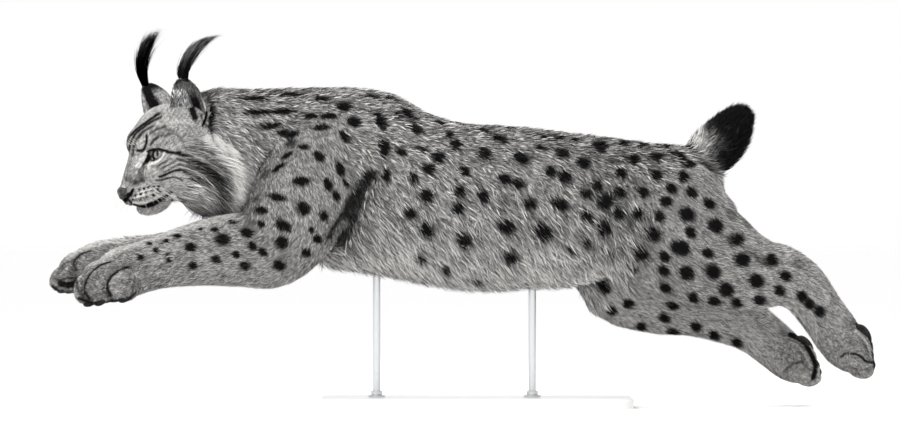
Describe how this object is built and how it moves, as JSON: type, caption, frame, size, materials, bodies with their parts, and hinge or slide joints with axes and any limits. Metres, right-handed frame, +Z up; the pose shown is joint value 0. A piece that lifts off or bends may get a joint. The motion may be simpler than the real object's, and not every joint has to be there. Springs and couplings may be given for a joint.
{
  "type": "eurasian lynx model",
  "caption": "Life-size still model of a Eurasian lynx in full leap, with ruff, tufted ears, spotted coat and short black-tipped tail, held up on a flat stand by two rods.",
  "frame": {"origin": "middle of the underside of the whole piece's box, at the level of the stand's bottom face", "axes": "+Z up, nose towards -X, tail towards +X, the animal's left side towards -Y"},
  "size_m": [1.4848, 0.3, 0.6815],
  "materials": {
    "coat": "dense spotted silver-grey winter fur",
    "ear_coat": "short black and pale fur with long black tufts",
    "eye": "wet, clear over a pale iris and a small upright pupil",
    "stand_base": "satin pale lacquer",
    "stand_rod": "brushed"
  },
  "bodies": {
    "root": {"torso_chest": "coat", "torso_loin": "coat", "torso_hips": "coat", "neck": "coat", "head": "coat", "tail": "coat", "foreleg_left_upper": "coat", "foreleg_left_lower": "coat", "foreleg_right_upper": "coat", "foreleg_right_lower": "coat", "paw_front_left": "coat", "paw_front_right": "coat", "hindleg_left_thigh": "coat", "hindleg_left_shank": "coat", "hindleg_right_thigh": "coat", "hindleg_right_shank": "coat", "paw_hind_left": "coat", "paw_hind_right": "coat", "ear_left": "ear_coat", "ear_right": "ear_coat", "eye_left": "eye", "eye_right": "eye", "stand_base": "stand_base", "stand_rod_front": "stand_rod", "stand_rod_rear": "stand_rod"}
  },
  "joints": []
}
